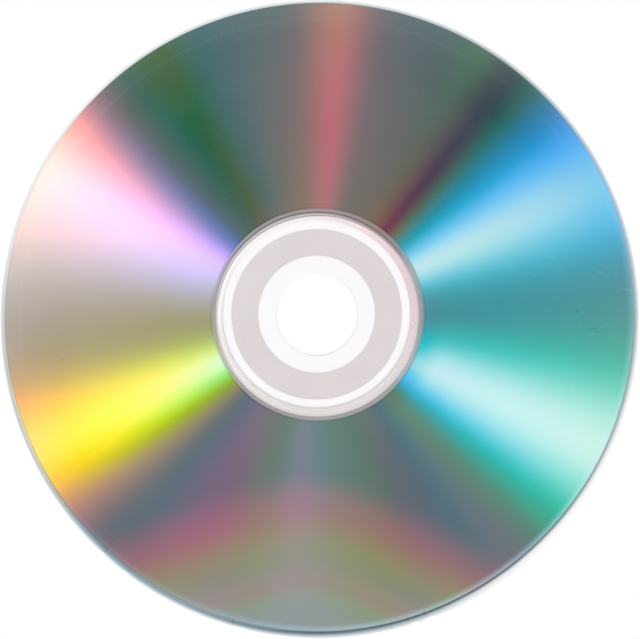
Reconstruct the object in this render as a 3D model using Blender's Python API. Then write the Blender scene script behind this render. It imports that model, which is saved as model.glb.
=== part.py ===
"""A recordable compact disc, lying flat with its read side up.

The disc is one moulding of clear polycarbonate. Its underside, the label side, carries the reflective
layer and over that the screen-printed label, and a printed band round the hub.

Frame: metres, +Z up, origin at the centre of the hole on the plane that the disc rests on.
Every piece is turned about +Z: a closed outline of (radius, height) points, spun once round.
"""

import math

import bmesh
import bpy

# Moulded disc
DISC_DIAMETER = 0.120
DISC_THICKNESS = 0.0012
HOLE_DIAMETER = 0.015
HOLE_CHAMFER = 0.00035
RIM_ROUNDING = 0.0002

# Stacking ring, the moulded ridge on the read side that keeps stacked discs apart
STACKING_RING_DIAMETER = 0.0365
STACKING_RING_WIDTH = 0.0008
STACKING_RING_HEIGHT = 0.0002

# Label side, outwards from the wall of the hole
HUB_CLEAR_WIDTH = 0.0036
HUB_BAND_WIDTH = 0.0049
CLEAR_RING_WIDTH = 0.0017
PRINT_TO_METAL = 0.0014
METAL_TO_GROOVE = 0.0002

# Groove left in the label side by the ring that holds the stamper in the mould
GROOVE_WIDTH = 0.0008
GROOVE_WALL_RUN = 0.00012
GROOVE_DEPTH = 0.00012

# Label side, inwards from the rim
CLEAR_RIM_WIDTH = 0.0008
PRINT_SETBACK = 0.0006

# Coatings, which lie in the plastic so that the disc rests on its own rim and hub
METAL_THICKNESS = 0.00001
PRINT_THICKNESS = 0.00002
COATING_GAP = 0.000005

# Facets
SEGMENTS = 96
RIDGE_STEPS = 6
ROUNDING_STEPS = 3
SHARP_ANGLE = math.radians(35)

# Radii that follow from the widths
DISC_RADIUS = DISC_DIAMETER / 2
HOLE_RADIUS = HOLE_DIAMETER / 2
BAND_INNER = HOLE_RADIUS + HUB_CLEAR_WIDTH
BAND_OUTER = BAND_INNER + HUB_BAND_WIDTH
PRINT_INNER = BAND_OUTER + CLEAR_RING_WIDTH
METAL_INNER = PRINT_INNER + PRINT_TO_METAL
GROOVE_INNER = METAL_INNER + METAL_TO_GROOVE
GROOVE_OUTER = GROOVE_INNER + GROOVE_WIDTH
METAL_OUTER = DISC_RADIUS - CLEAR_RIM_WIDTH
PRINT_OUTER = METAL_OUTER - PRINT_SETBACK

# Heights of the stacked coatings, above the resting plane
METAL_BASE = PRINT_THICKNESS + COATING_GAP
METAL_TOP = METAL_BASE + METAL_THICKNESS
PLASTIC_OVER_PRINT = PRINT_THICKNESS + COATING_GAP
PLASTIC_OVER_METAL = METAL_TOP + COATING_GAP

# Colours (linear), roughness, metallic
CLEAR_PLASTIC = ((0.90, 0.94, 0.96, 1.0), 0.05, 0.0)
DYED_SILVER = ((0.28, 0.36, 0.34, 1.0), 0.15, 1.0)
LABEL_INK = ((0.62, 0.60, 0.59, 1.0), 0.45, 0.0)


def clear_scene():
    """Remove every object of the open scene."""
    for item in list(bpy.data.objects):
        bpy.data.objects.remove(item, do_unlink=True)


def finish(name, look):
    """A Principled material from a (colour, roughness, metallic) look."""
    colour, roughness, metallic = look
    material = bpy.data.materials.new(name)
    material.use_nodes = True
    shader = material.node_tree.nodes["Principled BSDF"]
    shader.inputs["Base Color"].default_value = colour
    shader.inputs["Roughness"].default_value = roughness
    shader.inputs["Metallic"].default_value = metallic
    material.diffuse_color = colour
    return material


def arc(centre, radii, start, end, steps):
    """Points of an ellipse's arc about centre, between two angles in degrees."""
    points = []
    for step in range(steps + 1):
        angle = math.radians(start + (end - start) * step / steps)
        radius = centre[0] + radii[0] * math.cos(angle)
        height = centre[1] + radii[1] * math.sin(angle)
        points.append((radius, height))
    return points


def over_groove(base):
    """The groove's four corners in a line drawn outwards at height base."""
    crest = base + GROOVE_DEPTH
    return [
        (GROOVE_INNER, base),
        (GROOVE_INNER + GROOVE_WALL_RUN, crest),
        (GROOVE_OUTER - GROOVE_WALL_RUN, crest),
        (GROOVE_OUTER, base),
    ]


def coating(inner, outer, base, top):
    """Outline of a coating that follows the groove, from radius inner to radius outer."""
    underside = [(inner, base)] + over_groove(base) + [(outer, base)]
    upper_side = [(inner, top)] + over_groove(top) + [(outer, top)]
    return underside + upper_side[::-1]


def read_side():
    """The disc's upper face, from the hole to the rim, with the stacking ring."""
    ridge_centre = (STACKING_RING_DIAMETER / 2, DISC_THICKNESS)
    ridge_size = (STACKING_RING_WIDTH / 2, STACKING_RING_HEIGHT)
    chamfer = [
        (HOLE_RADIUS, DISC_THICKNESS - HOLE_CHAMFER),
        (HOLE_RADIUS + HOLE_CHAMFER, DISC_THICKNESS),
    ]
    return chamfer + arc(ridge_centre, ridge_size, 180, 0, RIDGE_STEPS)


def rim():
    """The outer wall with its two rounded edges, from the read side down."""
    rounding = (RIM_ROUNDING, RIM_ROUNDING)
    inset = DISC_RADIUS - RIM_ROUNDING
    upper = arc((inset, DISC_THICKNESS - RIM_ROUNDING), rounding, 90, 0, ROUNDING_STEPS)
    lower = arc((inset, RIM_ROUNDING), rounding, 0, -90, ROUNDING_STEPS)
    return upper + lower


def label_side():
    """The disc's lower face, from the rim to the hole, with the beds of the coatings."""
    bed = PLASTIC_OVER_PRINT
    return [
        (METAL_OUTER + COATING_GAP, 0),
        (METAL_OUTER + COATING_GAP, PLASTIC_OVER_METAL),
        *over_groove(PLASTIC_OVER_METAL)[::-1],
        (METAL_INNER - COATING_GAP, PLASTIC_OVER_METAL),
        (METAL_INNER - COATING_GAP, bed),
        (PRINT_INNER - COATING_GAP, bed),
        (PRINT_INNER - COATING_GAP, 0),
        (BAND_OUTER + COATING_GAP, 0),
        (BAND_OUTER + COATING_GAP, bed),
        (BAND_INNER - COATING_GAP, bed),
        (BAND_INNER - COATING_GAP, 0),
        (HOLE_RADIUS + HOLE_CHAMFER, 0),
        (HOLE_RADIUS, HOLE_CHAMFER),
    ]


def turned(name, outline, material):
    """Spin a closed (radius, height) outline once round +Z into an object."""
    shape = bmesh.new()
    corners = [shape.verts.new((radius, 0, height)) for radius, height in outline]
    edges = [shape.edges.new((corners[i - 1], corners[i])) for i in range(len(corners))]
    bmesh.ops.spin(
        shape,
        geom=corners + edges,
        cent=(0, 0, 0),
        axis=(0, 0, 1),
        angle=math.tau,
        steps=SEGMENTS,
        use_merge=True,
    )
    bmesh.ops.recalc_face_normals(shape, faces=shape.faces)
    mesh = bpy.data.meshes.new(name)
    shape.to_mesh(mesh)
    shape.free()
    mesh.shade_smooth()
    mesh.set_sharp_from_angle(angle=SHARP_ANGLE)
    mesh.materials.append(material)
    piece = bpy.data.objects.new(name, mesh)
    bpy.context.collection.objects.link(piece)
    return piece


def hub_band():
    """Outline of the flat printed band round the hub."""
    return [
        (BAND_INNER, 0),
        (BAND_OUTER, 0),
        (BAND_OUTER, PRINT_THICKNESS),
        (BAND_INNER, PRINT_THICKNESS),
    ]


def build():
    """Make the four pieces, each in its place."""
    clear_scene()
    plastic = finish("clear polycarbonate", CLEAR_PLASTIC)
    silver = finish("dyed silver", DYED_SILVER)
    ink = finish("screen ink", LABEL_INK)
    turned("substrate", read_side() + rim() + label_side(), plastic)
    turned("reflective_layer", coating(METAL_INNER, METAL_OUTER, METAL_BASE, METAL_TOP), silver)
    turned("label_print", coating(PRINT_INNER, PRINT_OUTER, 0, PRINT_THICKNESS), ink)
    turned("hub_band", hub_band(), ink)


build()
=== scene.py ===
import math

import bmesh
import bpy
from mathutils import Matrix, Vector


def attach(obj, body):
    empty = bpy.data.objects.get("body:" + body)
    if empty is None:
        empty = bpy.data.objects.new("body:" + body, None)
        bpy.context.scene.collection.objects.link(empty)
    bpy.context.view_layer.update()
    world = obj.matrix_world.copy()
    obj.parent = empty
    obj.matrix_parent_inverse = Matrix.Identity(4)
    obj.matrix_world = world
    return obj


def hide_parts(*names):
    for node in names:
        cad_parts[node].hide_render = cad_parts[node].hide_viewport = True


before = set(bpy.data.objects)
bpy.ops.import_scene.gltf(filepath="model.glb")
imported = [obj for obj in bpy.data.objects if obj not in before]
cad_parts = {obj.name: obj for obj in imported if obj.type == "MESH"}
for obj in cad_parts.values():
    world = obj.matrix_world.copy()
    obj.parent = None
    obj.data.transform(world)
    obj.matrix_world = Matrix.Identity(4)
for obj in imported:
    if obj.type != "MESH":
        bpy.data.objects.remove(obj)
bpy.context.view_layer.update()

MM = 0.001


# Clear moulding
# The body of the disc: one injection moulding of optical polycarbonate, polished by its mould, with the
# stacking ring on the read side. The label side has shallow beds for the coatings and the groove left by
# the ring that holds the stamper. The rim has a few small nicks from handling.

DISC_RADIUS = 60.0 * MM
DISC_THICKNESS = 1.2 * MM
HOLE_RADIUS = 7.5 * MM
HOLE_CHAMFER = 0.35 * MM
RIM_ROUNDING = 0.2 * MM

STACKING_RING_RADIUS = 18.25 * MM
STACKING_RING_WIDTH = 0.8 * MM
STACKING_RING_HEIGHT = 0.2 * MM

BAND_INNER = 11.1 * MM
BAND_OUTER = 16.0 * MM
PRINT_INNER = 17.7 * MM
PRINT_OUTER = 58.6 * MM
METAL_INNER = 19.1 * MM
METAL_OUTER = 59.2 * MM

# How far each coating's edge landed off the centre of the hole
BAND_SHIFT = Vector((-0.09, 0.13, 0)) * MM
PRINT_SHIFT = Vector((-0.13, 0.30, 0)) * MM
METAL_SHIFT = Vector((-0.08, 0.33, 0)) * MM

GROOVE_INNER = 19.3 * MM
GROOVE_OUTER = 20.1 * MM
GROOVE_WALL_RUN = 0.12 * MM
GROOVE_DEPTH = 0.12 * MM

PRINT_THICKNESS = 0.02 * MM
METAL_THICKNESS = 0.01 * MM
COATING_GAP = 0.005 * MM
METAL_BASE = PRINT_THICKNESS + COATING_GAP
METAL_TOP = METAL_BASE + METAL_THICKNESS
PLASTIC_OVER_PRINT = PRINT_THICKNESS + COATING_GAP
PLASTIC_OVER_METAL = METAL_TOP + COATING_GAP

PLASTIC_SEGMENTS = 1080
RIDGE_STEPS = 16
ROUNDING_STEPS = 6
SECTORS = 24
WELD = 0.001 * MM
SHARP_ANGLE = math.radians(35)

# Two circles on the read side end the stacking ring's shading, this far clear of the coatings' inner edges
FLAT_MARGIN = 0.05 * MM
# Corners this near to a coating's edge move sideways with it
EDGE_REACH = 0.1 * MM

# Nicks in the rim: direction in degrees, width along the rim and depth, both in mm
NICKS = (
    (228.2, 0.9, 0.22),
    (233.6, 0.8, 0.20),
    (256.4, 2.6, 0.12),
    (287.4, 1.4, 0.16),
    (290.6, 1.8, 0.20),
)
# How far in from the rim, and above what height, a nick moves the plastic
NICK_REACH = 0.5 * MM
NICK_BOTTOM = DISC_THICKNESS / 3


def arc(centre, radii, start, end, steps):
    """Points of an ellipse's arc about centre, between two angles in degrees."""
    points = []
    for step in range(steps + 1):
        angle = math.radians(start + (end - start) * step / steps)
        radius = centre[0] + radii[0] * math.cos(angle)
        height = centre[1] + radii[1] * math.sin(angle)
        points.append((radius, height))
    return points


def over_groove(base):
    """The groove's four corners in a line drawn outwards at height base."""
    crest = base + GROOVE_DEPTH
    return [
        (GROOVE_INNER, base),
        (GROOVE_INNER + GROOVE_WALL_RUN, crest),
        (GROOVE_OUTER - GROOVE_WALL_RUN, crest),
        (GROOVE_OUTER, base),
    ]


def turned(name, outline, segments, material):
    """Spin a closed (radius, height) outline once round +Z into a smooth-shaded piece.

    One sector is spun first and then repeated, because a long spin in single steps is slow.
    """
    sector = math.tau / SECTORS
    around = {"cent": (0, 0, 0), "axis": (0, 0, 1)}
    shape = bmesh.new()
    corners = [shape.verts.new((radius, 0, height)) for radius, height in outline]
    edges = [shape.edges.new((corners[i - 1], corners[i])) for i in range(len(corners))]
    bmesh.ops.spin(shape, geom=corners + edges, angle=sector, steps=segments // SECTORS, **around)
    whole = shape.verts[:] + shape.edges[:] + shape.faces[:]
    rest = math.tau - sector
    bmesh.ops.spin(shape, geom=whole, angle=rest, steps=SECTORS - 1, use_duplicate=True, **around)
    bmesh.ops.remove_doubles(shape, verts=shape.verts, dist=WELD)
    bmesh.ops.recalc_face_normals(shape, faces=shape.faces)
    mesh = bpy.data.meshes.new(name)
    shape.to_mesh(mesh)
    shape.free()
    mesh.shade_smooth()
    mesh.set_sharp_from_angle(angle=SHARP_ANGLE)
    mesh.materials.append(material)
    piece = bpy.data.objects.new(name, mesh)
    bpy.context.collection.objects.link(piece)
    return piece


def off_centre(piece, inner, outer, shift):
    """Slide the label side between two radii sideways, as a coating that landed off-centre."""
    for corner in piece.data.vertices:
        within = inner - EDGE_REACH < corner.co.xy.length < outer + EDGE_REACH
        if within and corner.co.z < DISC_THICKNESS / 2:
            corner.co += shift


def nick(piece, direction, width, depth):
    """Press the rim inwards in one direction, except near the label side, width and depth in mm."""
    way = Vector((math.cos(math.radians(direction)), math.sin(math.radians(direction))))
    across = way.orthogonal()
    for corner in piece.data.vertices:
        outwards = corner.co.xy.dot(way)
        if corner.co.z < NICK_BOTTOM or outwards < DISC_RADIUS - NICK_REACH:
            continue
        aside = corner.co.xy.dot(across) / (width / 2 * MM)
        press = depth * MM * math.exp(-aside * aside)
        corner.co.x -= way.x * press
        corner.co.y -= way.y * press


def linear(hex_colour):
    """A linear RGBA colour from an sRGB hex value."""
    channels = [int(hex_colour[i:i + 2], 16) / 255 for i in (0, 2, 4)]
    return [c / 12.92 if c <= 0.04045 else ((c + 0.055) / 1.055) ** 2.4 for c in channels] + [1.0]


def new_material(name):
    """A material without nodes."""
    material = bpy.data.materials.new(name)
    material.use_nodes = True
    material.node_tree.nodes.clear()
    return material


def node(material, kind, inputs, **settings):
    """Add a node with its settings, and set or link its inputs, given by name or number.

    A node that is given as an input is linked by its first output in use.
    """
    tree = material.node_tree
    made = tree.nodes.new(kind)
    for name, value in settings.items():
        setattr(made, name, value)
    for name, value in inputs.items():
        if isinstance(value, bpy.types.Node):
            value = next(socket for socket in value.outputs if socket.enabled)
        if isinstance(value, bpy.types.NodeSocket):
            tree.links.new(value, made.inputs[name])
        else:
            made.inputs[name].default_value = value
    return made


def on_piece(material):
    """The place on the piece in mm, in its own coordinates."""
    place = node(material, "ShaderNodeTexCoord", {})
    in_mm = {0: place.outputs["Object"], "Scale": 1 / MM}
    return node(material, "ShaderNodeVectorMath", in_mm, operation="SCALE")


def round_axis(material, flat):
    """The distance from the hole's axis and the direction in degrees of a place without height."""
    distance = node(material, "ShaderNodeVectorMath", {0: flat}, operation="LENGTH")
    axes = node(material, "ShaderNodeSeparateXYZ", {0: flat})
    sides = {0: axes.outputs["Y"], 1: axes.outputs["X"]}
    turn = node(material, "ShaderNodeMath", sides, operation="ARCTAN2")
    return distance, node(material, "ShaderNodeMath", {0: turn}, operation="DEGREES")


def bell(material, value, middle, below, above):
    """A soft band of value about middle, a number or a node, that fades out on each side at its own rate.

    Differences wrap at 180, so it serves for directions in degrees and for radii in mm alike.
    """
    apart = node(material, "ShaderNodeMath", {0: value, 1: middle}, operation="SUBTRACT")
    offset = node(material, "ShaderNodeMath", {0: apart, 1: 180.0, 2: -180.0}, operation="WRAP")
    side = node(material, "ShaderNodeMath", {0: offset, 1: 0.0}, operation="GREATER_THAN")
    rate = node(
        material,
        "ShaderNodeMath",
        {0: side, 1: 1 / above - 1 / below, 2: 1 / below},
        operation="MULTIPLY_ADD",
    )
    reach = node(material, "ShaderNodeMath", {0: offset, 1: rate}, operation="MULTIPLY")
    squared = node(material, "ShaderNodeMath", {0: reach, 1: reach}, operation="MULTIPLY")
    return node(material, "ShaderNodeMath", {0: math.exp(-1), 1: squared}, operation="POWER")


def oval(material, flat, centre, half_length, half_width, turned_by):
    """A soft oval mark at a place in mm, its long side turned_by degrees from +X."""
    inside = node(
        material,
        "ShaderNodeMapping",
        {
            "Vector": flat,
            "Location": (*centre, 0),
            "Rotation": (0, 0, math.radians(turned_by)),
            "Scale": (half_length, half_width, 1),
        },
        vector_type="TEXTURE",
    )
    away = node(material, "ShaderNodeVectorMath", {0: inside, 1: inside}, operation="DOT_PRODUCT")
    return node(material, "ShaderNodeMath", {0: math.exp(-1), 1: away}, operation="POWER")


def part_circle(material, distance, direction, at, half_width, way, clockwise, anticlockwise, strength):
    """A soft circle at a distance in mm, strongest in one direction and fading on each side of it."""
    circle = bell(material, distance, at, half_width, half_width)
    side = bell(material, direction, way, clockwise, anticlockwise)
    part = node(material, "ShaderNodeMath", {0: circle, 1: side}, operation="MULTIPLY")
    return node(material, "ShaderNodeMath", {0: part, 1: strength}, operation="MULTIPLY")


# Polycarbonate, injection moulded against a polished mould: water-clear. Its tint carries painted shade and
# painted light: the grey of its rim and the circles round the hub. Rays from lamps and from the coatings go
# straight through it.
# Wiping has left it finely scuffed, which shows as a slightly softer gloss in patches and in hairlines.
PLASTIC_IOR = 1.585

# The scuffed patches and the hairlines: size and spacing in mm, the levels of the noise over which they set
# in, and what they do to the surface. The hairlines' direction is in degrees.
SCUFF_SIZE = 9.0
SCUFF_DETAIL = 4.0
SCUFF_LEVELS = (0.45, 0.75)
SCUFF_ROUGHNESS = (0.012, 0.045)
HAIRLINE_PITCH = 0.3
HAIRLINE_DETAIL = 1.0
HAIRLINE_WAY = 28
HAIRLINE_STRETCH = 20
HAIRLINE_LEVELS = (0.68, 0.76)
HAIRLINE_DEPTH = 0.004 * MM
HAIRLINE_STRENGTH = 0.25

# The tones below are laid on the read side, above the coatings that they belong with. From the photograph's
# camera the two line up when the tones are drawn this much smaller and this far aside, in mm.
DRAWN_SCALE = 1.00305
DRAWN_SHIFT = (-0.03, 0.044, 0)

# The clear rim outside the coatings is painted grey, and greyer in some directions: painted shade for the
# light that its rounded wall turns aside. Each row gives the direction, the spread clockwise and
# anticlockwise in degrees, and the share of the grey. It sets in across the coatings' edge and fades
# between two radii, in mm.
RIM_SHADE_GREY = "307388"
RIM_SHADES = (
    (5, 30, 30, 0.40),
    (52, 35, 58, 0.70),
    (125, 35, 25, 0.34),
    (190, 25, 14, 0.29),
    (222, 42, 50, 0.80),
    (268, 16, 20, 0.36),
    (290, 14, 12, 0.24),
)
COATING_END_FROM = -0.08
COATING_END_TO = 0.04
RIM_FADE_FROM = 59.45
RIM_FADE_TO = 60.05
RIM_FADE = 0.35

# A painted dark line, a painted reflection of the coatings' end in the rim's wall. It lies on this circle,
# drawn in towards the hub in one direction, shows over the lower half, and fades slowly outwards.
WALL_LINE_RADIUS = 59.45
WALL_LINE_DIP = 0.6
WALL_LINE_DIP_WAY = (302, 45, 52)
WALL_LINE_SHOWN = (287, 36, 74)
WALL_LINE_INSIDE = 0.14
WALL_LINE_OUTSIDE = 0.40
WALL_LINE_SHARE = 0.86
WALL_LINE_COLOUR = "3c4c52"

# The faint tint of the hub, then painted light and shade: the circles that the moulded walls draw, the
# hole's edge among them, and the streaks mirrored in the rim as painted reflections. Place of the centre,
# radius and half width in mm, the direction where each is strongest, the spread clockwise and anticlockwise
# in degrees, the share and the colour
TINT_AND_PAINTED_CIRCLES = (
    (0, 0, 13, 5.5, 0, 400, 400, 1.0, "fffbff"),
    (0, 0, 7.65, 0.22, 290, 130, 130, 0.26, "a9adb2"),
    (0, 0, 18.4, 0.7, 10, 35, 55, 0.95, "ffe7ef"),
    (0.21, -0.44, 19.17, 0.16, 112, 55, 50, 0.78, "6c767c"),
    (0, 0, 19.05, 0.1, 90, 80, 60, 0.30, "707a80"),
    (0.06, -0.14, 19.57, 0.11, 98, 60, 65, 0.85, "585052"),
    (0, 0, 19.3, 0.45, 52, 24, 26, 0.50, "c48c94"),
    (0, 0, 59.38, 0.24, 25, 17, 15, 0.85, "a4d2f6"),
    (0, 0, 59.38, 0.22, 156, 18, 16, 0.95, "fdf0ea"),
    (0, 0, 59.38, 0.20, 203, 19, 13, 0.90, "fbe8ba"),
    (0, 0, 59.88, 0.12, 172, 25, 24, 0.35, "8f8a8c"),
    (0, 0, 60.10, 0.07, 303, 22, 24, 0.45, "a39698"),
)

# Dark spots where the rim was knocked rough, and at 270 degrees a long painted shade along the rim that
# deepens
# the wall line: direction, radius, half length across the rim, half width along it, and share
SCARS_AND_SHADE = (
    (228.2, 59.5, 0.45, 0.12, 0.5),
    (233.6, 59.6, 0.35, 0.12, 0.4),
    (254.8, 59.4, 0.40, 0.22, 0.5),
    # painted shade along the wall line, not a knock
    (270.0, 59.05, 0.13, 4.5, 0.5),
    (283.5, 59.1, 0.35, 0.2, 0.35),
    (286.5, 59.0, 0.35, 0.25, 0.4),
    (289.8, 58.95, 0.35, 0.2, 0.5),
)
SCAR_AND_SHADE_COLOUR = "46545a"

plastic = new_material("clear polycarbonate")
in_mm = on_piece(plastic)
flat = node(
    plastic,
    "ShaderNodeVectorMath",
    {0: in_mm, 1: (DRAWN_SCALE, DRAWN_SCALE, 0), 2: DRAWN_SHIFT},
    operation="MULTIPLY_ADD",
)
radius, direction = round_axis(plastic, flat)

from_coating = node(
    plastic,
    "ShaderNodeVectorMath",
    {0: flat, 1: METAL_SHIFT / MM},
    operation="DISTANCE",
)
outside = node(
    plastic,
    "ShaderNodeMapRange",
    {
        "Value": from_coating,
        "From Min": METAL_OUTER / MM + COATING_END_FROM,
        "From Max": METAL_OUTER / MM + COATING_END_TO,
    },
    interpolation_type="SMOOTHSTEP",
)
fade = node(
    plastic,
    "ShaderNodeMapRange",
    {
        "Value": radius,
        "From Min": RIM_FADE_FROM,
        "From Max": RIM_FADE_TO,
        "To Min": 1.0,
        "To Max": RIM_FADE,
    },
)
rim_share = 0.0
for way, clockwise, anticlockwise, share in RIM_SHADES:
    shade = bell(plastic, direction, way, clockwise, anticlockwise)
    rim_share = node(
        plastic,
        "ShaderNodeMath",
        {0: shade, 1: share, 2: rim_share},
        operation="MULTIPLY_ADD",
    )
rim_share = node(plastic, "ShaderNodeMath", {0: rim_share, 1: fade}, operation="MULTIPLY")
rim_share = node(plastic, "ShaderNodeMath", {0: rim_share, 1: outside}, operation="MULTIPLY")
tones = [(rim_share, RIM_SHADE_GREY)]

dip = bell(plastic, direction, *WALL_LINE_DIP_WAY)
line_radius = node(
    plastic,
    "ShaderNodeMath",
    {0: dip, 1: -WALL_LINE_DIP, 2: WALL_LINE_RADIUS},
    operation="MULTIPLY_ADD",
)
line = bell(plastic, radius, line_radius, WALL_LINE_INSIDE, WALL_LINE_OUTSIDE)
line_shown = bell(plastic, direction, *WALL_LINE_SHOWN)
line_share = node(plastic, "ShaderNodeMath", {0: line, 1: line_shown}, operation="MULTIPLY")
line_share = node(plastic, "ShaderNodeMath", {0: line_share, 1: WALL_LINE_SHARE}, operation="MULTIPLY")
tones.append((line_share, WALL_LINE_COLOUR))

# The hub's tint, and the painted light and shade of the moulded walls and the rim
for x, y, at, half_width, way, clockwise, anticlockwise, share, colour in TINT_AND_PAINTED_CIRCLES:
    from_centre = node(plastic, "ShaderNodeVectorMath", {0: flat, 1: (x, y, 0)}, operation="DISTANCE")
    measures = (at, half_width, way, clockwise, anticlockwise, share)
    circle = part_circle(plastic, from_centre, direction, *measures)
    tones.append((circle, colour))

for way, at, half_length, half_width, share in SCARS_AND_SHADE:
    centre = (at * math.cos(math.radians(way)), at * math.sin(math.radians(way)))
    dark_mark = oval(plastic, flat, centre, half_length, half_width, way)
    seen = node(plastic, "ShaderNodeMath", {0: dark_mark, 1: share}, operation="MULTIPLY")
    tones.append((seen, SCAR_AND_SHADE_COLOUR))

# The tint gathers the painted grey of the rim, the painted wall line and circles, the hub's tint, the
# knocks, and the painted shade along the rim
tint = node(plastic, "ShaderNodeCombineColor", {0: 1.0, 1: 1.0, 2: 1.0})
for share, colour in tones:
    tint = node(plastic, "ShaderNodeMix", {0: share, "A": tint, "B": linear(colour)}, data_type="RGBA")

# The shader tints by the square root of its colour at each face, and rays leave through the far face
# unchanged, so the square goes in.
squared = node(plastic, "ShaderNodeVectorMath", {0: tint, 1: tint}, operation="MULTIPLY")

patches = node(
    plastic,
    "ShaderNodeTexNoise",
    {"Vector": in_mm, "Scale": 1 / SCUFF_SIZE, "Detail": SCUFF_DETAIL},
)
softness = node(
    plastic,
    "ShaderNodeMapRange",
    {
        "Value": patches,
        "From Min": SCUFF_LEVELS[0],
        "From Max": SCUFF_LEVELS[1],
        "To Min": SCUFF_ROUGHNESS[0],
        "To Max": SCUFF_ROUGHNESS[1],
    },
)
stretched = node(
    plastic,
    "ShaderNodeMapping",
    {"Vector": flat, "Rotation": (0, 0, math.radians(HAIRLINE_WAY)), "Scale": (1 / HAIRLINE_STRETCH, 1, 1)},
)
hairlines = node(
    plastic,
    "ShaderNodeTexNoise",
    {"Vector": stretched, "Scale": 1 / HAIRLINE_PITCH, "Detail": HAIRLINE_DETAIL},
)
scratched = node(
    plastic,
    "ShaderNodeMapRange",
    {"Value": hairlines, "From Min": HAIRLINE_LEVELS[0], "From Max": HAIRLINE_LEVELS[1]},
)
relief = node(
    plastic,
    "ShaderNodeBump",
    {"Height": scratched, "Distance": HAIRLINE_DEPTH, "Strength": HAIRLINE_STRENGTH},
    invert=True,
)
glass = node(
    plastic,
    "ShaderNodeBsdfPrincipled",
    {
        "Base Color": squared,
        "Roughness": softness,
        "IOR": PLASTIC_IOR,
        "Transmission Weight": 1.0,
        "Normal": relief,
    },
)
straight = node(plastic, "ShaderNodeBsdfTransparent", {})
path = node(plastic, "ShaderNodeLightPath", {})
scattered = node(
    plastic,
    "ShaderNodeMath",
    {0: path.outputs["Is Diffuse Ray"], 1: path.outputs["Is Glossy Ray"]},
    operation="MAXIMUM",
)
unbent = node(
    plastic,
    "ShaderNodeMath",
    {0: path.outputs["Is Shadow Ray"], 1: scattered},
    operation="MAXIMUM",
)
shown = node(plastic, "ShaderNodeMixShader", {0: unbent, 1: glass, 2: straight})
node(plastic, "ShaderNodeOutputMaterial", {"Surface": shown})

read_side = [
    (HOLE_RADIUS, DISC_THICKNESS - HOLE_CHAMFER),
    (HOLE_RADIUS + HOLE_CHAMFER, DISC_THICKNESS),
    (PRINT_INNER - FLAT_MARGIN, DISC_THICKNESS),
    *arc(
        (STACKING_RING_RADIUS, DISC_THICKNESS),
        (STACKING_RING_WIDTH / 2, STACKING_RING_HEIGHT),
        180,
        0,
        RIDGE_STEPS,
    ),
    (METAL_INNER + FLAT_MARGIN, DISC_THICKNESS),
]
inset = DISC_RADIUS - RIM_ROUNDING
rim = [
    *arc((inset, DISC_THICKNESS - RIM_ROUNDING), (RIM_ROUNDING, RIM_ROUNDING), 90, 0, ROUNDING_STEPS),
    *arc((inset, RIM_ROUNDING), (RIM_ROUNDING, RIM_ROUNDING), 0, -90, ROUNDING_STEPS),
]
label_side = [
    (METAL_OUTER + COATING_GAP, 0),
    (METAL_OUTER + COATING_GAP, PLASTIC_OVER_METAL),
    *over_groove(PLASTIC_OVER_METAL)[::-1],
    (METAL_INNER - COATING_GAP, PLASTIC_OVER_METAL),
    (METAL_INNER - COATING_GAP, PLASTIC_OVER_PRINT),
    (PRINT_INNER - COATING_GAP, PLASTIC_OVER_PRINT),
    (PRINT_INNER - COATING_GAP, 0),
    (BAND_OUTER + COATING_GAP, 0),
    (BAND_OUTER + COATING_GAP, PLASTIC_OVER_PRINT),
    (BAND_INNER - COATING_GAP, PLASTIC_OVER_PRINT),
    (BAND_INNER - COATING_GAP, 0),
    (HOLE_RADIUS + HOLE_CHAMFER, 0),
    (HOLE_RADIUS, HOLE_CHAMFER),
]
moulding = turned("clear_moulding", read_side + rim + label_side, PLASTIC_SEGMENTS, plastic)
off_centre(moulding, BAND_INNER, BAND_OUTER, BAND_SHIFT)
off_centre(moulding, PRINT_INNER, PRINT_INNER, PRINT_SHIFT)
off_centre(moulding, METAL_OUTER, METAL_OUTER, METAL_SHIFT)
for way, width, depth in NICKS:
    nick(moulding, way, width, depth)
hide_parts("substrate")
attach(moulding, "root")


# Reflective layer
# Silver sputtered over a blue-green dye on the label side of the plastic, and seen through it. The spiral
# track, 0.0016 mm from turn to turn, spreads the lamps' light into coloured streaks along the radii, which
# are painted light in the silver's colour.

COATING_SEGMENTS = 720


def coating(inner, outer, base, top):
    """Outline of a coating that follows the groove, from radius inner to radius outer."""
    underside = [(inner, base)] + over_groove(base) + [(outer, base)]
    upper_side = [(inner, top)] + over_groove(top) + [(outer, top)]
    return underside + upper_side[::-1]
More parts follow.
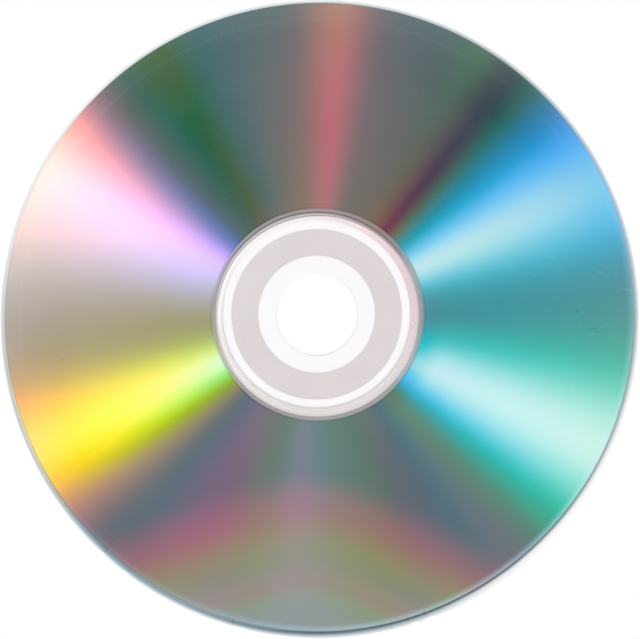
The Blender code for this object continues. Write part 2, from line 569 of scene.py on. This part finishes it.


# Each streak is painted light in the silver's colour: where the track turns one band of a lamp's light
# towards the eye. A row gives its direction at the hub and at the rim, in degrees anticlockwise from +X,
# its spread clockwise and anticlockwise of that, and its strength at the hub, midway and at the rim. Below
# 0 a row paints a darker band. The ground is the painted light that the track spreads everywhere.
PAINTED_GROUND = {"red": (0.03, 0.025, 0.03), "green": (0.12, 0.12, 0.12), "blue": (0.125, 0.14, 0.15)}
PAINTED_STREAKS = {
    "red": (
        (2, 2, 20, 14, 0.015, 0.015, 0.055),
        (25, 25.3, 7.6, 6.8, 0.485, 0.39, 0.155),
        (39, 39, 4, 4, -0.05, -0.06, 0.0),
        (45.5, 45.5, 3.5, 4, 0.0, -0.03, -0.045),
        (51, 51, 2, 2, -0.035, -0.02, 0.0),
        (54, 54, 11, 12, 0.115, 0.015, 0.0),
        (85.5, 85.5, 5.7, 6.3, 0.22, 0.30, 0.30),
        (88, 88, 29, 19.5, 0.165, 0.15, 0.085),
        (98, 98, 8, 12, 0.06, 0.02, 0.0),
        (120, 120, 5, 5, 0.04, 0.015, -0.015),
        (124, 124, 9, 6, -0.015, -0.06, -0.065),
        (140, 140, 4, 4, -0.035, -0.01, 0.0),
        (151.7, 147, 7.9, 18, 0.55, 0.98, 1.65),
        (164, 164, 9, 9, -0.05, -0.02, 0.0),
        (183, 183, 35, 30, 0.30, 0.33, 0.37),
        (204.6, 205.5, 9.9, 10.3, 0.54, 1.02, 1.47),
        (212.5, 212.5, 2.5, 2.5, -0.09, 0.0, 0.0),
        (222, 218.5, 4.5, 5, 0.12, 0.12, 0.06),
        (240.5, 240, 8.5, 10.5, 0.10, 0.10, 0.04),
        (263.5, 264, 6, 5.5, 0.065, 0.05, 0.0),
        (268, 268, 32, 42, 0.09, 0.09, 0.09),
        (297, 297, 6, 4, 0.03, 0.02, 0.02),
        (308, 308, 3, 3, 0.0, 0.01, 0.05),
        (312, 312, 5, 4.5, 0.05, 0.045, 0.05),
        (322, 322, 4.5, 4, -0.045, -0.06, -0.055),
        (334, 334.3, 7.8, 9.8, 0.47, 0.53, 0.55),
        (347.5, 347.5, 5, 5, -0.045, -0.045, -0.01),
    ),
    "green": (
        (3, 3, 16, 15, 0.10, 0.105, 0.115),
        (25, 24.5, 12.3, 12.9, 0.68, 0.62, 0.455),
        (50.5, 50.5, 4.2, 5, -0.105, -0.095, -0.06),
        (58, 58, 3.5, 4, 0.0, 0.0, 0.035),
        (86.5, 86.5, 5, 5, 0.0, 0.0, 0.07),
        (92, 92, 25, 22, 0.05, 0.025, 0.03),
        (122.5, 122.5, 6.5, 7, -0.035, -0.03, -0.015),
        (134, 134, 6, 6, -0.01, -0.03, -0.03),
        (155, 152, 10.3, 17.2, 0.355, 0.50, 0.65),
        (170, 170, 8, 8, 0.0, 0.01, 0.045),
        (183, 183, 34, 27, 0.18, 0.19, 0.215),
        (198, 198, 5, 5, 0.05, 0.05, -0.02),
        (206.8, 206.8, 12.4, 10.9, 0.80, 0.42, 0.0),
        (206.8, 206.3, 9.7, 8.3, 0.0, 0.41, 0.595),
        (213, 213, 4, 4, 0.08, 0.10, 0.03),
        (243, 243, 8, 8, 0.01, -0.025, 0.035),
        (267, 267, 23, 25, 0.115, 0.08, 0.05),
        (296, 296, 6, 6, 0.025, -0.015, 0.045),
        (309, 309, 5, 4, 0.045, 0.015, 0.0),
        (313, 313, 4, 4, 0.02, -0.01, -0.035),
        (334, 334, 14.8, 17.8, 0.67, 0.755, 0.775),
        (357, 357, 8, 6, -0.035, -0.02, -0.02),
    ),
    "blue": (
        (2, 2, 15, 14, 0.15, 0.16, 0.12),
        (20.5, 20.5, 10, 9.5, 0.61, 0.60, 0.65),
        (32.7, 34, 8, 7.1, 0.57, 0.64, 0.62),
        (41.5, 41.5, 3, 2.5, 0.01, 0.075, 0.05),
        (47, 47, 3, 3, -0.025, -0.02, -0.02),
        (52.5, 51, 7, 11, -0.06, -0.065, -0.075),
        (85, 84, 7, 7, 0.05, 0.03, 0.01),
        (121, 121.5, 5.5, 8, -0.08, -0.105, -0.12),
        (132, 132, 4, 4, -0.02, -0.035, -0.03),
        (138.5, 138.5, 3, 3, 0.03, 0.04, 0.03),
        (152.7, 154, 11.4, 16, 1.17, 0.95, 0.66),
        (160, 160, 6, 6, -0.06, -0.05, -0.02),
        (168, 168, 8, 9, 0.045, 0.05, 0.045),
        (177, 179, 12, 12, 0.025, 0.05, 0.15),
        (199, 199, 6, 5, 0.01, -0.04, -0.02),
        (206, 205, 5.5, 6, 0.43, 0.0, 0.035),
        (218, 211.5, 5.5, 4.5, -0.11, -0.165, -0.11),
        (220, 220, 5, 5, 0.0, 0.02, 0.035),
        (237, 236, 9, 9, 0.06, 0.04, 0.02),
        (250, 250, 8, 8, -0.01, 0.01, 0.085),
        (264.5, 265, 7, 10, 0.09, 0.10, 0.09),
        (268, 268, 45, 45, 0.05, 0.03, 0.02),
        (290, 290, 6, 6, 0.0, -0.025, 0.065),
        (307, 308, 7, 5, 0.03, 0.04, 0.01),
        (311, 311, 3, 3, -0.02, -0.01, 0.0),
        (323.3, 326, 5.9, 6.5, 0.43, 0.29, 0.08),
        (336, 334.5, 11, 13.8, 0.715, 0.70, 0.63),
    ),
}

# Over the first few mm of the track some painted streaks fade in or out sooner. Each row gives a direction,
# its spread clockwise and anticlockwise, and the change at the hub.
TRACK_START = {
    "red": (
        (6, 8, 8, 0.02),
        (48, 8, 8, 0.03),
        (112, 12, 15, 0.05),
        (328, 3.5, 4, -0.12),
        (339, 9, 7, -0.30),
    ),
    "green": (
        (315, 8, 8, -0.05),
        (338, 14, 14, -0.12),
    ),
    "blue": (
        (122, 5, 5, 0.03),
        (162, 8, 8, -0.12),
        (206, 12, 6, 0.07),
        (317, 5, 5, -0.08),
        (339, 7, 6, -0.14),
    ),
}
TRACK_START_SHARE = 0.13

# A long lamp's reflection is painted as an arch of light below the hub. Its crest is this far below the
# centre, bent in a tight curve that runs out into straight flanks, and its bands begin one after another,
# in mm beyond that curve.
ARCH_APEX = 32.3
ARCH_BEND = 4.0
ARCH_FALL = 0.47
ARCH_LEAN = 0.08
ARCH_STEPS = {
    "red": ((-4.5, 4.5, 0.185), (6.5, 11.5, -0.04), (13.5, 17, 0.045), (17.5, 21, -0.045)),
    "green": ((3, 11.5, 0.10), (17.5, 20.5, 0.045)),
    "blue": ((2, 8, -0.04), (11, 16, 0.05), (18, 24, 0.06)),
}

# The dye was spun on and stops just outside the groove, off the centre, in a line where it is thicker.
# Inside that circle the silver is bare, and takes on only part of the painted streaks' light. Place, radius
# and widths are in mm.
DYE_CENTRE = (0.16, 0.12, 0.0)
DYE_RADIUS = 20.04
DYE_SOFTNESS = 0.1
DYE_LIP_WIDTH = 0.12
DYE_LIP = -0.035
BARE_SHARE = 0.78
DATA_END = METAL_OUTER / MM

# Over its last millimetre and a half the silver is painted lighter and bluer, most of all to one side:
# distances inwards from the edge in mm, the share, and the side's direction and spread in degrees
EDGE_CENTRE = METAL_SHIFT / MM
LIGHTER_EDGE_FROM = 1.4
LIGHTER_EDGE_TO = 0.0
LIGHTER_EDGE_SHARE = 0.44
LIGHTER_EDGE_SIDE = (305, 60, 60)

# Towards the rim one side of the track is painted darker, painted shade for the less light it sends back.
# The shares of the way out where this starts and is full, the change, and its direction with its spread
# clockwise and anticlockwise
DIM_FROM = 0.62
DIM_TO = 0.9
DIM = -0.04
DIM_SIDE = (115, 75, 90)

# Fine circles that the spinning left in the dye, the last of them a painted light line along its edge on
# one
# side: radius and half width in mm, the direction where each is strongest, the spread clockwise and
# anticlockwise in degrees, and its change
SPIN_LINES_AND_EDGE_LIGHT = (
    (56.48, 0.2, 118, 85, 80, 0.025),
    (56.1, 0.06, 0, 15, 15, 0.02),
    (58.2, 0.06, 355, 25, 25, 0.03),
    (58.6, 0.06, 355, 25, 25, -0.02),
    (59.15, 0.22, 10, 22, 20, 0.11),
)

# Small flaws in the dye: place of each, its half length and half width in mm, its turn in degrees, and its
# change
FLAWS = (
    (43.9, 10.8, 0.5, 0.14, 0, 0.06),
    (45.6, 8.3, 0.35, 0.12, 35, 0.05),
    (40.6, 7.2, 0.3, 0.14, 0, 0.04),
    (53.1, 7.8, 0.6, 0.12, -10, 0.07),
    (57.8, 4.6, 0.8, 0.10, -4, 0.09),
    (57.9, 3.8, 0.4, 0.09, 0, 0.06),
    (48.7, 0.5, 0.18, 0.4, 20, -0.06),
    (49.1, -2.2, 0.2, 0.2, 0, 0.07),
    (51.3, -2.9, 0.7, 0.12, 40, -0.05),
    (51.4, -3.7, 0.3, 0.18, 0, 0.07),
    (53.2, -2.5, 0.2, 0.2, 0, 0.05),
    (54.9, -4.5, 0.8, 0.14, 0, 0.03),
    (47.4, -14.1, 0.3, 0.3, 0, 0.04),
    (-54.4, 7.2, 0.3, 0.15, 60, -0.06),
    (-48.2, -8.4, 0.25, 0.25, 0, -0.05),
)

# Silver over an azo dye, sputtered and spin-coated: a mirror behind a coloured film, covered with a track
# far finer than the eye sees, so it shines along the radii and goes through every colour round the disc.
# That shine and its colours are painted light in the base colour below.
silver = new_material("dyed silver")
flat = node(silver, "ShaderNodeVectorMath", {0: on_piece(silver), 1: (1, 1, 0)}, operation="MULTIPLY")
radius, direction = round_axis(silver, flat)

# The share of the way from the track's start to its end, and the weights of a row's three strengths there
outwards = node(
    silver,
    "ShaderNodeMapRange",
    {"Value": radius, "From Min": DYE_RADIUS, "From Max": DATA_END},
)
inwards = node(silver, "ShaderNodeMath", {0: 1.0, 1: outwards}, operation="SUBTRACT")
lean = node(silver, "ShaderNodeMath", {0: inwards, 1: outwards}, operation="SUBTRACT")
at_hub = node(silver, "ShaderNodeMath", {0: inwards, 1: lean}, operation="MULTIPLY")
product = node(silver, "ShaderNodeMath", {0: inwards, 1: outwards}, operation="MULTIPLY")
midway = node(silver, "ShaderNodeMath", {0: product, 1: 4.0}, operation="MULTIPLY")
rimward = node(silver, "ShaderNodeMath", {0: outwards, 1: lean}, operation="MULTIPLY")
at_rim = node(silver, "ShaderNodeMath", {0: rimward, 1: -1.0}, operation="MULTIPLY")
weights = node(silver, "ShaderNodeCombineXYZ", {0: at_hub, 1: midway, 2: at_rim})
track_start = node(
    silver,
    "ShaderNodeMapRange",
    {"Value": outwards, "From Max": TRACK_START_SHARE, "To Min": 1.0, "To Max": 0.0},
    interpolation_type="SMOOTHSTEP",
)
dimmed = node(
    silver,
    "ShaderNodeMapRange",
    {"Value": outwards, "From Min": DIM_FROM, "From Max": DIM_TO, "To Max": DIM},
    interpolation_type="SMOOTHSTEP",
)
dim_side = bell(silver, direction, *DIM_SIDE)
dim = node(silver, "ShaderNodeMath", {0: dimmed, 1: dim_side}, operation="MULTIPLY")

# How far a place is beyond the arch's curve, away from the hub
axes = node(silver, "ShaderNodeSeparateXYZ", {0: flat})
sideways = node(silver, "ShaderNodeMath", {0: axes.outputs["X"], 1: ARCH_FALL}, operation="MULTIPLY")
spread = node(
    silver,
    "ShaderNodeMath",
    {0: sideways, 1: sideways, 2: ARCH_BEND ** 2},
    operation="MULTIPLY_ADD",
)
flank = node(silver, "ShaderNodeMath", {0: spread}, operation="SQRT")
crest = node(
    silver,
    "ShaderNodeMath",
    {0: axes.outputs["X"], 1: ARCH_LEAN, 2: ARCH_APEX - ARCH_BEND},
    operation="MULTIPLY_ADD",
)
curve = node(silver, "ShaderNodeMath", {0: flank, 1: crest}, operation="ADD")
above = node(silver, "ShaderNodeMath", {0: axes.outputs["Y"], 1: curve}, operation="ADD")
beyond = node(silver, "ShaderNodeMath", {0: above, 1: -1.0}, operation="MULTIPLY")

# What is the same for all three colours: the painted darker side, a fine cloudiness of the spun dye, the
# line at its inner edge, its flaws, its circles and the painted light line at its edge. The clouds' size is
# in mm.
CLOUD_SIZE = 0.8
CLOUD_DETAIL = 5.0
CLOUD_LEVELS = (0.3, 0.7)
CLOUD_DEPTH = 0.004
clouds = node(
    silver,
    "ShaderNodeTexNoise",
    {"Vector": flat, "Scale": 1 / CLOUD_SIZE, "Detail": CLOUD_DETAIL},
)
cloudy = node(
    silver,
    "ShaderNodeMapRange",
    {
        "Value": clouds,
        "From Min": CLOUD_LEVELS[0],
        "From Max": CLOUD_LEVELS[1],
        "To Min": -CLOUD_DEPTH,
        "To Max": CLOUD_DEPTH,
    },
)
common = node(silver, "ShaderNodeMath", {0: dim, 1: cloudy}, operation="ADD")
from_dye = node(silver, "ShaderNodeVectorMath", {0: flat, 1: DYE_CENTRE}, operation="DISTANCE")
lip = bell(silver, from_dye, DYE_RADIUS + DYE_LIP_WIDTH, DYE_LIP_WIDTH, DYE_LIP_WIDTH)
common = node(silver, "ShaderNodeMath", {0: lip, 1: DYE_LIP, 2: common}, operation="MULTIPLY_ADD")
for x, y, half_length, half_width, turned_by, change in FLAWS:
    flaw = oval(silver, flat, (x, y), half_length, half_width, turned_by)
    common = node(silver, "ShaderNodeMath", {0: flaw, 1: change, 2: common}, operation="MULTIPLY_ADD")
for measures in SPIN_LINES_AND_EDGE_LIGHT:
    circle = part_circle(silver, radius, direction, *measures)
    common = node(silver, "ShaderNodeMath", {0: common, 1: circle}, operation="ADD")

bands = []
for band in ("red", "green", "blue"):
    ground = node(silver, "ShaderNodeVectorMath", {0: weights, 1: PAINTED_GROUND[band]}, operation="DOT_PRODUCT")
    total = node(silver, "ShaderNodeMath", {0: ground, 1: common}, operation="ADD")
    # Each painted streak adds its painted light to the band
    for hub_way, rim_way, clockwise, anticlockwise, *strengths in PAINTED_STREAKS[band]:
        way = node(
            silver,
            "ShaderNodeMath",
            {0: outwards, 1: rim_way - hub_way, 2: hub_way},
            operation="MULTIPLY_ADD",
        )
        painted_streak = bell(silver, direction, way, clockwise, anticlockwise)
        strength = node(
            silver,
            "ShaderNodeVectorMath",
            {0: weights, 1: strengths},
            operation="DOT_PRODUCT",
        )
        total = node(
            silver,
            "ShaderNodeMath",
            {0: painted_streak, 1: strength, 2: total},
            operation="MULTIPLY_ADD",
        )
    for way, clockwise, anticlockwise, change in TRACK_START[band]:
        painted_streak = bell(silver, direction, way, clockwise, anticlockwise)
        fading = node(silver, "ShaderNodeMath", {0: track_start, 1: change}, operation="MULTIPLY")
        total = node(
            silver,
            "ShaderNodeMath",
            {0: painted_streak, 1: fading, 2: total},
            operation="MULTIPLY_ADD",
        )
    for start, end, change in ARCH_STEPS[band]:
        step = node(
            silver,
            "ShaderNodeMapRange",
            {"Value": beyond, "From Min": start, "From Max": end, "To Min": 0.0, "To Max": change},
            interpolation_type="SMOOTHSTEP",
        )
        total = node(silver, "ShaderNodeMath", {0: total, 1: step}, operation="ADD")
    bands.append(node(silver, "ShaderNodeClamp", {"Value": total}))
# The painted light of the streaks, as the silver's colour
painted_streaks = node(silver, "ShaderNodeCombineColor", dict(enumerate(bands)))

# The bare silver inside the dye, painted lighter as far as the groove's inner wall and darker at its outer
# wall: painted light and shade on the groove's walls
BARE_LIT_TONE = "bab2b5"
BARE_SHADED_TONE = "999a97"
bare = node(
    silver,
    "ShaderNodeMapRange",
    {
        "Value": from_dye,
        "From Min": DYE_RADIUS - DYE_SOFTNESS,
        "From Max": DYE_RADIUS + DYE_SOFTNESS,
        "To Min": BARE_SHARE,
        "To Max": 0.0,
    },
    interpolation_type="SMOOTHSTEP",
)
off_wall = node(
    silver,
    "ShaderNodeMapRange",
    {"Value": radius, "From Min": GROOVE_INNER / MM, "From Max": GROOVE_OUTER / MM},
    interpolation_type="SMOOTHSTEP",
)
silvery = node(
    silver,
    "ShaderNodeMix",
    {0: off_wall, "A": linear(BARE_LIT_TONE), "B": linear(BARE_SHADED_TONE)},
    data_type="RGBA",
)
# The painted streaks on the dye, and the bare silver inside it with its painted light and shade
dyed = node(silver, "ShaderNodeMix", {0: bare, "A": painted_streaks, "B": silvery}, data_type="RGBA")

# Painted lighter and bluer towards the rim, most of all to one side
LIGHTER_EDGE_TONE = "c6ebfb"
from_edge = node(silver, "ShaderNodeVectorMath", {0: flat, 1: EDGE_CENTRE}, operation="DISTANCE")
lighter_edge = node(
    silver,
    "ShaderNodeMapRange",
    {
        "Value": from_edge,
        "From Min": DATA_END - LIGHTER_EDGE_FROM,
        "From Max": DATA_END - LIGHTER_EDGE_TO,
        "To Max": LIGHTER_EDGE_SHARE,
    },
    interpolation_type="SMOOTHSTEP",
)
lighter_edge_side = bell(silver, direction, *LIGHTER_EDGE_SIDE)
lighter_edge_share = node(silver, "ShaderNodeMath", {0: lighter_edge, 1: lighter_edge_side}, operation="MULTIPLY")
colour = node(
    silver,
    "ShaderNodeMix",
    {0: lighter_edge_share, "A": dyed, "B": linear(LIGHTER_EDGE_TONE)},
    data_type="RGBA",
)

# The track itself, drawn a hundred times as coarse, with its pitch in mm, and the uneven gloss of the spun
# dye, which is stretched and turned by a quarter from the track's own direction
TRACK_PITCH = 0.16
TRACK_DEPTH = 0.0004 * MM
TRACK_STRENGTH = 0.2
FILM_ROUGHNESS = (0.42, 0.48)
FILM_METALLIC = 0.5
FILM_STRETCH = 0.8
QUARTER_TURN = 0.25
# At scale 1 the rings repeat after this length
RING_PERIOD = math.pi / 10
rings = node(
    silver,
    "ShaderNodeTexWave",
    {"Vector": flat, "Scale": RING_PERIOD / TRACK_PITCH, "Distortion": 0.0},
    wave_type="RINGS",
    rings_direction="Z",
)
relief = node(
    silver,
    "ShaderNodeBump",
    {"Height": rings.outputs["Fac"], "Distance": TRACK_DEPTH, "Strength": TRACK_STRENGTH},
)
gloss = node(
    silver,
    "ShaderNodeMapRange",
    {
        "Value": clouds,
        "From Min": CLOUD_LEVELS[0],
        "From Max": CLOUD_LEVELS[1],
        "To Min": FILM_ROUGHNESS[0],
        "To Max": FILM_ROUGHNESS[1],
    },
)
tangent = node(silver, "ShaderNodeTangent", {}, direction_type="RADIAL", axis="Z")
metal = node(
    silver,
    "ShaderNodeBsdfPrincipled",
    {
        "Base Color": colour,
        "Metallic": FILM_METALLIC,
        "Roughness": gloss,
        "Anisotropic": FILM_STRETCH,
        "Anisotropic Rotation": QUARTER_TURN,
        "Normal": relief,
        "Tangent": tangent,
    },
)
node(silver, "ShaderNodeOutputMaterial", {"Surface": metal})

layer_outline = coating(METAL_INNER, METAL_OUTER, METAL_BASE, METAL_TOP)
layer = turned("silver_layer", layer_outline, COATING_SEGMENTS, silver)
off_centre(layer, METAL_OUTER, METAL_OUTER, METAL_SHIFT)
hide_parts("reflective_layer")
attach(layer, "root")


# Label print
# One coat of ink, screen-printed over the reflective layer on the label side and held by its own bond.
# From the read side only its inner edge shows, under the stacking ring.

# Solvent-based ink pushed through a fine mesh and dried: satin and slightly cloudy, with the mesh left in
# it as a faint grain, and the odd pinhole. Threads of 0.08 mm are drawn three times as coarse. Spacings and
# sizes are in mm.
THREAD_PITCH = 0.25
THREAD_DEPTH = 0.002 * MM
THREAD_STRENGTH = 0.3
INK_CLOUD_SIZE = 14.0
INK_CLOUD_DETAIL = 4.0
INK_DARK = "cbc6c4"
INK_LIGHT = "d3cecc"
INK_ROUGHNESS = (0.36, 0.5)
PINHOLE_SPACING = 3.0
PINHOLE_EDGE = (0.02, 0.035)
PINHOLE_SHARE = 0.35
PINHOLE_TONE = "8c9496"

# A bright circle on the ink where the stacking ring gathers the light: radius and half width in mm, the
# direction where it is strongest, its spread clockwise and anticlockwise, and its share
CAUSTIC = (18.40, 0.11, 160, 110, 75, 0.70)
CAUSTIC_TONE = "fff8f4"

ink = new_material("screen-printed ink")
in_mm = on_piece(ink)
axes = node(ink, "ShaderNodeSeparateXYZ", {0: in_mm})
threads = []
for axis in ("X", "Y"):
    across = {0: axes.outputs[axis], 1: math.tau / THREAD_PITCH}
    swing = node(ink, "ShaderNodeMath", across, operation="MULTIPLY")
    threads.append(node(ink, "ShaderNodeMath", {0: swing}, operation="SINE"))
mesh_mark = node(ink, "ShaderNodeMath", {0: threads[0], 1: threads[1]}, operation="ADD")
cloudy = node(
    ink,
    "ShaderNodeTexNoise",
    {"Vector": in_mm, "Scale": 1 / INK_CLOUD_SIZE, "Detail": INK_CLOUD_DETAIL},
)
tone = node(
    ink,
    "ShaderNodeMix",
    {0: cloudy, "A": linear(INK_DARK), "B": linear(INK_LIGHT)},
    data_type="RGBA",
)
flat = node(ink, "ShaderNodeVectorMath", {0: in_mm, 1: (1, 1, 0)}, operation="MULTIPLY")
lit_share = part_circle(ink, *round_axis(ink, flat), *CAUSTIC)
lit = node(ink, "ShaderNodeMix", {0: lit_share, "A": tone, "B": linear(CAUSTIC_TONE)}, data_type="RGBA")

cells = node(ink, "ShaderNodeTexVoronoi", {"Vector": in_mm, "Scale": 1 / PINHOLE_SPACING})
pinhole = node(
    ink,
    "ShaderNodeMapRange",
    {
        "Value": cells.outputs["Distance"],
        "From Min": PINHOLE_EDGE[0],
        "From Max": PINHOLE_EDGE[1],
        "To Min": PINHOLE_SHARE,
        "To Max": 0.0,
    },
)
speckled = node(
    ink,
    "ShaderNodeMix",
    {0: pinhole, "A": lit, "B": linear(PINHOLE_TONE)},
    data_type="RGBA",
)
grain = node(
    ink,
    "ShaderNodeBump",
    {"Height": mesh_mark, "Distance": THREAD_DEPTH, "Strength": THREAD_STRENGTH},
)
sheen = node(
    ink,
    "ShaderNodeMapRange",
    {
        "Value": cloudy,
        "From Min": CLOUD_LEVELS[0],
        "From Max": CLOUD_LEVELS[1],
        "To Min": INK_ROUGHNESS[0],
        "To Max": INK_ROUGHNESS[1],
    },
)
satin = node(
    ink,
    "ShaderNodeBsdfPrincipled",
    {"Base Color": speckled, "Roughness": sheen, "Normal": grain},
)
node(ink, "ShaderNodeOutputMaterial", {"Surface": satin})

print_outline = coating(PRINT_INNER, PRINT_OUTER, 0, PRINT_THICKNESS)
print_layer = turned("label_ink", print_outline, COATING_SEGMENTS, ink)
off_centre(print_layer, PRINT_INNER, PRINT_INNER, PRINT_SHIFT)
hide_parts("label_print")
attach(print_layer, "root")


# Hub band
# A separate flat ring of the same ink round the hub, on the label side. It is screen-printed straight onto
# the clear plastic, through which it shows.

band_outline = [
    (BAND_INNER, 0),
    (BAND_OUTER, 0),
    (BAND_OUTER, PRINT_THICKNESS),
    (BAND_INNER, PRINT_THICKNESS),
]
band_ring = turned("hub_band_ink", band_outline, COATING_SEGMENTS, ink)
off_centre(band_ring, BAND_INNER, BAND_OUTER, BAND_SHIFT)
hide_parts("hub_band")
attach(band_ring, "root")


# Table
# A wide, plain table top of white laminate just under the disc. It only carries the disc in the picture and
# isn't part of it.

TABLE_HALF = 1.5
TABLE_DROP = 0.1 * MM
TABLE_TONE = "ebebeb"
TABLE_ROUGHNESS = 0.6

# White laminate, matt, so that it stays one even white and mirrors nothing of the disc
laminate = new_material("white laminate")
matt = node(
    laminate,
    "ShaderNodeBsdfPrincipled",
    {"Base Color": linear(TABLE_TONE), "Roughness": TABLE_ROUGHNESS},
)
node(laminate, "ShaderNodeOutputMaterial", {"Surface": matt})
shape = bmesh.new()
bmesh.ops.create_grid(
    shape, x_segments=1, y_segments=1, size=TABLE_HALF, matrix=Matrix.Translation((0, 0, -TABLE_DROP))
)
mesh = bpy.data.meshes.new("table_top")
shape.to_mesh(mesh)
shape.free()
mesh.materials.append(laminate)
table = bpy.data.objects.new("table_top", mesh)
bpy.context.collection.objects.link(table)


# Light
# A bright, even room, dark straight overhead where the camera is, and one soft lamp well off the axis. The
# dark part is what the clear plastic mirrors to the camera, so that no veil lies on the colours.

ROOM_BRIGHTNESS = 1.88
# Height of the direction (the sine of its elevation) and share of the brightness there
ROOM_LEVELS = ((0.0, 0.24), (0.5, 0.24), (0.62, 1.0), (0.89, 1.0), (0.945, 0.10), (1.0, 0.08))
LAMP_SPOT = Vector((-0.55, 0.45, 0.55))
LAMP_POWER = 0.72
LAMP_SIZE = 0.4

world = bpy.data.worlds.new("room")
bpy.context.scene.world = world
world.use_nodes = True
room = world.node_tree
sight = room.nodes.new("ShaderNodeTexCoord")
upward = room.nodes.new("ShaderNodeSeparateXYZ")
room.links.new(sight.outputs["Generated"], upward.inputs[0])
levels = room.nodes.new("ShaderNodeValToRGB")
room.links.new(upward.outputs["Z"], levels.inputs[0])
stops = levels.color_ramp.elements
while len(stops) < len(ROOM_LEVELS):
    stops.new(0.5)
for stop, (height, share) in zip(stops, ROOM_LEVELS):
    stop.position = height
    stop.color = (share, share, share, 1)
room.links.new(levels.outputs[0], room.nodes["Background"].inputs["Color"])
room.nodes["Background"].inputs["Strength"].default_value = ROOM_BRIGHTNESS

lamp_data = bpy.data.lights.new("soft_lamp", "AREA")
lamp_data.energy = LAMP_POWER
lamp_data.size = LAMP_SIZE
lamp = bpy.data.objects.new("soft_lamp", lamp_data)
lamp.location = LAMP_SPOT
lamp.rotation_euler = (-LAMP_SPOT).to_track_quat("-Z", "Y").to_euler()
bpy.context.collection.objects.link(lamp)


# Camera
# Almost square on to the read side, 0.24 m away, with +Y upwards in the picture. The lens is long enough
# for the disc to fill the frame.

EYE = Vector((9.8 * MM, -14.5 * MM, 239.4 * MM))
AIM = Vector((0.57 * MM, -0.9 * MM, 0))
LENS = 71.6
SENSOR_WIDTH = 36
NEAREST = 0.01
FARTHEST = 10

lens = bpy.data.cameras.new("camera")
lens.lens = LENS
lens.sensor_width = SENSOR_WIDTH
lens.clip_start = NEAREST
lens.clip_end = FARTHEST
camera = bpy.data.objects.new("camera", lens)
ahead = (AIM - EYE).normalized()
right = ahead.cross(Vector((0, 1, 0))).normalized()
turned_to = Matrix((right, right.cross(ahead), -ahead)).transposed().to_4x4()
camera.matrix_world = Matrix.Translation(EYE) @ turned_to
bpy.context.collection.objects.link(camera)
bpy.context.scene.camera = camera
bpy.context.scene.view_settings.view_transform = "Standard"
